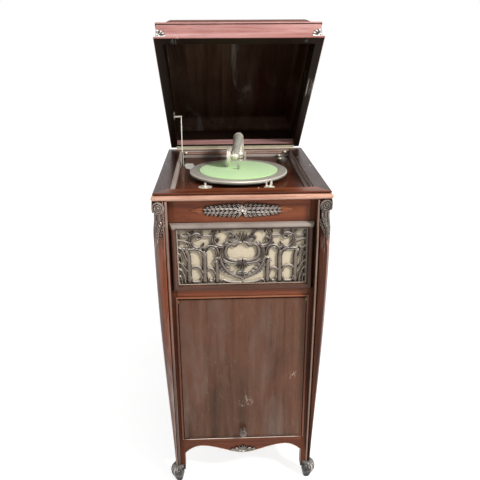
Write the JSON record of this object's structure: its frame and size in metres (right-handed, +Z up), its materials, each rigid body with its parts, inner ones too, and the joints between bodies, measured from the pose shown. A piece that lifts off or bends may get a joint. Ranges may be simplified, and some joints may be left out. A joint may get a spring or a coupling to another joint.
{
  "type": "gramophone cabinet",
  "caption": "Upright wooden cabinet on curved legs with a hinged stay-held lid over a turntable and tonearm, a carved sound grille and a drop-front record compartment.",
  "frame": {"origin": "on the floor, under the middle of the whole width and depth with the lid held open", "axes": "+Z up, the front with the grille and the door faces -Y, +X is to the right seen from the front"},
  "size_m": [0.496, 0.6287, 1.4211],
  "materials": {
    "mahogany_legs": "gloss",
    "mahogany_case": "gloss",
    "mahogany_door": "gloss",
    "mahogany_lid": "gloss",
    "inner_wood": "satin",
    "carved_wood": "satin",
    "grille_moulding": "gloss",
    "cloth": "woven",
    "felt": "felt",
    "rubber_buffer": "matte",
    "brass": "satin",
    "nickel": "polished nickel",
    "steel": "machined",
    "iron": "painted"
  },
  "bodies": {
    "case": {"leg_front_left": "mahogany_legs", "leg_front_right": "mahogany_legs", "leg_rear_left": "mahogany_legs", "leg_rear_right": "mahogany_legs", "side_panel_left": "mahogany_case", "side_panel_right": "mahogany_case", "back_panel": "inner_wood", "bottom_board": "inner_wood", "frieze_rail": "mahogany_case", "frieze_carving": "carved_wood", "mid_rail": "mahogany_case", "grille_frame": "grille_moulding", "grille_fretwork": "carved_wood", "grille_cloth": "cloth", "door_opening_bead": "mahogany_case", "front_apron": "mahogany_case", "apron_carving": "carved_wood", "case_rim": "mahogany_case", "top_moulding": "mahogany_case", "well_lining": "mahogany_case", "motor_board": "mahogany_case", "board_cleats": "inner_wood", "divider_shelf": "inner_wood", "record_shelf": "inner_wood", "horn": "inner_wood", "horn_throat": "iron", "door_pivot_plates": "brass", "case_hinge_leaf": "brass", "stay_fork": "nickel", "motor_frame": "iron", "crank_escutcheon": "nickel", "control_plates": "nickel", "tonearm_base": "nickel", "needle_cups": "nickel", "stop_plate": "nickel"},
    "lid": {"lid_frame": "mahogany_lid", "lid_slopes": "mahogany_lid", "lid_top": "mahogany_lid", "lid_corner_fans": "mahogany_lid", "lid_buffers": "rubber_buffer", "lid_hinge_leaf": "brass", "stay_bracket": "nickel"},
    "stay": {"stay_rod": "nickel"},
    "door": {"door_panel": "mahogany_door", "door_knob": "mahogany_door", "door_pivot_pins": "brass"},
    "turntable_group": {"turntable": "nickel", "felt_mat": "felt", "spindle": "steel"},
    "intermediate": {"intermediate_gear": "brass"},
    "barrel": {"spring_barrel": "steel"},
    "governor_group": {"governor": "brass"},
    "winding_shaft_group": {"winding_shaft": "steel"},
    "winding_arbor": {"winding_gear": "steel"},
    "brake": {"brake_lever": "nickel"},
    "speed_control": {"speed_knob": "nickel"},
    "turret": {"tonearm_turret": "nickel"},
    "arm": {"tonearm": "nickel"},
    "reproducer": {"sound_box": "nickel", "stylus_bar": "nickel"}
  },
  "joints": [
    {"name": "lid_hinge", "type": "hinge", "parent": "case", "child": "lid", "pos_m": [0, 0.28373, 0.98885], "axis": [1, 0, 0], "range_deg": [0, 41.3]},
    {"name": "stay_pivot", "type": "hinge", "parent": "lid", "child": "stay", "pos_m": [-0.184, 0.15953, 1.12172], "axis": [1, 0, 0], "range_deg": [0, 41.3]},
    {"name": "door_hinge", "type": "hinge", "parent": "case", "child": "door", "pos_m": [0, -0.26797, 0.6495], "axis": [-1, 0, 0], "range_deg": [0, 90]},
    {"name": "turntable_spin", "type": "hinge", "parent": "case", "child": "turntable_group", "pos_m": [0, -0.01697, 0.9821], "axis": [0, 0, 1], "continuous": true},
    {"name": "intermediate_spin", "type": "hinge", "parent": "case", "child": "intermediate", "pos_m": [-0.03477, -0.00292, 0.904], "axis": [0, 0, 1], "continuous": true},
    {"name": "barrel_spin", "type": "hinge", "parent": "case", "child": "barrel", "pos_m": [-0.04389, 0.04878, 0.869], "axis": [0, 0, 1], "continuous": true},
    {"name": "governor_spin", "type": "hinge", "parent": "case", "child": "governor_group", "pos_m": [0, -0.04677, 0.868], "axis": [1, 0, 0], "continuous": true},
    {"name": "winding_shaft_spin", "type": "hinge", "parent": "case", "child": "winding_shaft_group", "pos_m": [0.15, 0.04878, 0.9137], "axis": [1, 0, 0], "continuous": true},
    {"name": "winding_arbor_spin", "type": "hinge", "parent": "case", "child": "winding_arbor", "pos_m": [-0.04389, 0.04878, 0.924], "axis": [0, 0, 1], "continuous": true},
    {"name": "brake_turn", "type": "hinge", "parent": "case", "child": "brake", "pos_m": [0.08499, -0.16096, 0.96], "axis": [0, 0, -1], "range_deg": [0, 15]},
    {"name": "speed_turn", "type": "hinge", "parent": "case", "child": "speed_control", "pos_m": [-0.103, -0.15096, 0.96], "axis": [0, 0, 1], "range_deg": [-120, 120]},
    {"name": "tonearm_swing", "type": "hinge", "parent": "case", "child": "turret", "pos_m": [0.01, 0.17903, 0.97], "axis": [0, 0, 1], "range_deg": [-3, 62]},
    {"name": "tonearm_tilt", "type": "hinge", "parent": "turret", "child": "arm", "pos_m": [0.01, 0.17903, 0.99], "axis": [-0.9928, 0.1201, 0], "range_deg": [0, 12]},
    {"name": "reproducer_swivel", "type": "hinge", "parent": "arm", "child": "reproducer", "pos_m": [-0.0218, 0.01365, 1.0176], "axis": [-0.9928, 0.1201, 0], "range_deg": [0, 100]}
  ],
  "couplings": [
    {"joint": "stay_pivot", "follows": "lid_hinge", "ratio": 0.98},
    {"joint": "intermediate_spin", "follows": "turntable_spin", "ratio": -0.2},
    {"joint": "barrel_spin", "follows": "turntable_spin", "ratio": 0.033333},
    {"joint": "governor_spin", "follows": "turntable_spin", "ratio": 12},
    {"joint": "winding_arbor_spin", "follows": "winding_shaft_spin", "ratio": 0.33333}
  ]
}
